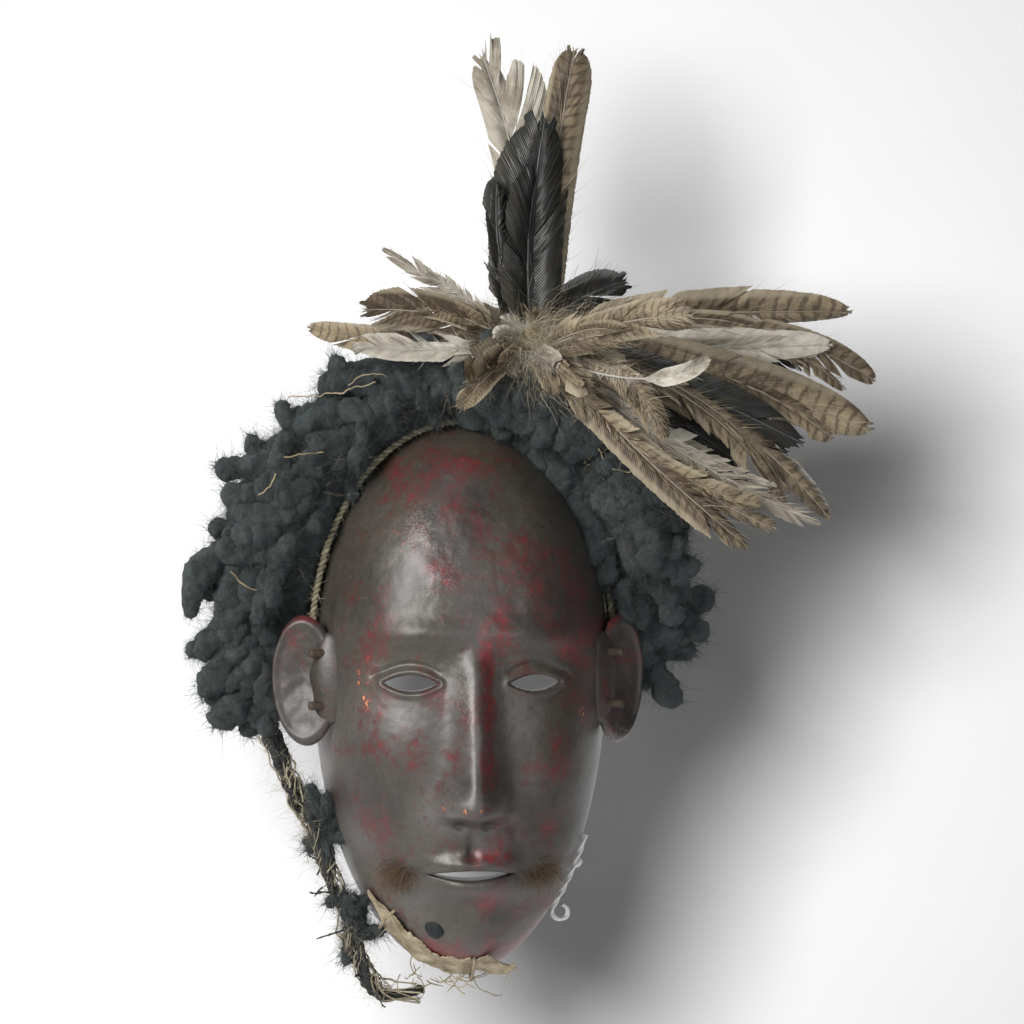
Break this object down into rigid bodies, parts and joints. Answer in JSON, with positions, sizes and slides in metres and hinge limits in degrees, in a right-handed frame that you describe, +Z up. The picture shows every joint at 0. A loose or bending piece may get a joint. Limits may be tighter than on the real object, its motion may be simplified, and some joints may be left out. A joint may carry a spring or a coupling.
{
  "type": "carved face mask",
  "caption": "Hollow carved wooden face mask with pierced eyes and mouth, pegged ears, a wool-lock wig and a fan-shaped feather crest.",
  "frame": {"origin": "centre of the opening for the wearer's face, in the plane of the back rim", "axes": "+Z up to the crown, -Y out through the nose, +X towards the mask's own left ear"},
  "size_m": [0.3403, 0.1084, 0.485],
  "materials": {
    "painted_wood": "worn dark paint over red, rubbed semi-gloss",
    "peg_wood": "raw carved wood",
    "pitch": "dark pitch or resin",
    "twine": "two-ply plant fibre",
    "wig_cloth": "coarse cloth",
    "cane": "split cane",
    "wool": "felted blue-black wool",
    "dark_feather": "glossy dark feather",
    "pale_feather": "pale feather",
    "barred_feather": "brown barred feather",
    "fur": "short brown fur",
    "hide": "dry torn hide",
    "strand_fibre": "mixed black wool and pale fibre",
    "white_thread": "white cotton thread"
  },
  "bodies": {
    "root": {"mask_shell": "painted_wood", "chin_plug": "pitch", "right_ear": "painted_wood", "right_ear_peg_lower": "peg_wood", "right_ear_peg_upper": "peg_wood", "left_ear": "painted_wood", "left_ear_peg_lower": "peg_wood", "left_ear_peg_upper": "peg_wood", "wig_band": "wig_cloth", "brow_braid": "twine", "wig_lashing_1": "twine", "wig_lashing_2": "twine", "wig_lashing_3": "twine", "wig_lashing_4": "twine", "wig_lashing_5": "twine", "crest_core": "cane", "crest_binding": "twine", "crest_foot_binding": "twine", "feather_plume_pale": "pale_feather", "feather_plume_brown": "barred_feather", "feather_plume_dark": "dark_feather", "feather_plume_side": "dark_feather", "feather_left_long": "barred_feather", "feather_left_curled": "pale_feather", "feather_left_mottled": "barred_feather", "feather_left_low": "pale_feather", "feather_right_top": "barred_feather", "feather_right_tip": "barred_feather", "feather_right_white": "pale_feather", "feather_right_barred": "barred_feather", "feather_right_dark": "dark_feather", "feather_right_arched": "barred_feather", "feather_right_sweep": "pale_feather", "feather_right_droop": "barred_feather", "feather_right_short": "barred_feather", "feather_right_fall": "pale_feather", "feather_right_curl": "pale_feather", "feather_right_down": "barred_feather", "wig_clump_01": "wool", "wig_clump_02": "wool", "wig_clump_03": "wool", "wig_clump_04": "wool", "wig_clump_05": "wool", "wig_clump_06": "wool", "wig_clump_07": "wool", "wig_clump_08": "wool", "wig_clump_09": "wool", "wig_clump_10": "wool", "wig_clump_11": "wool", "wig_clump_12": "wool", "wig_clump_13": "wool", "wig_clump_14": "wool", "right_moustache_tuft": "fur", "left_moustache_tuft": "fur", "chin_strap": "hide", "chin_thong_1": "hide", "chin_thong_2": "hide", "side_strand": "strand_fibre", "jaw_thread": "white_thread"}
  },
  "joints": []
}
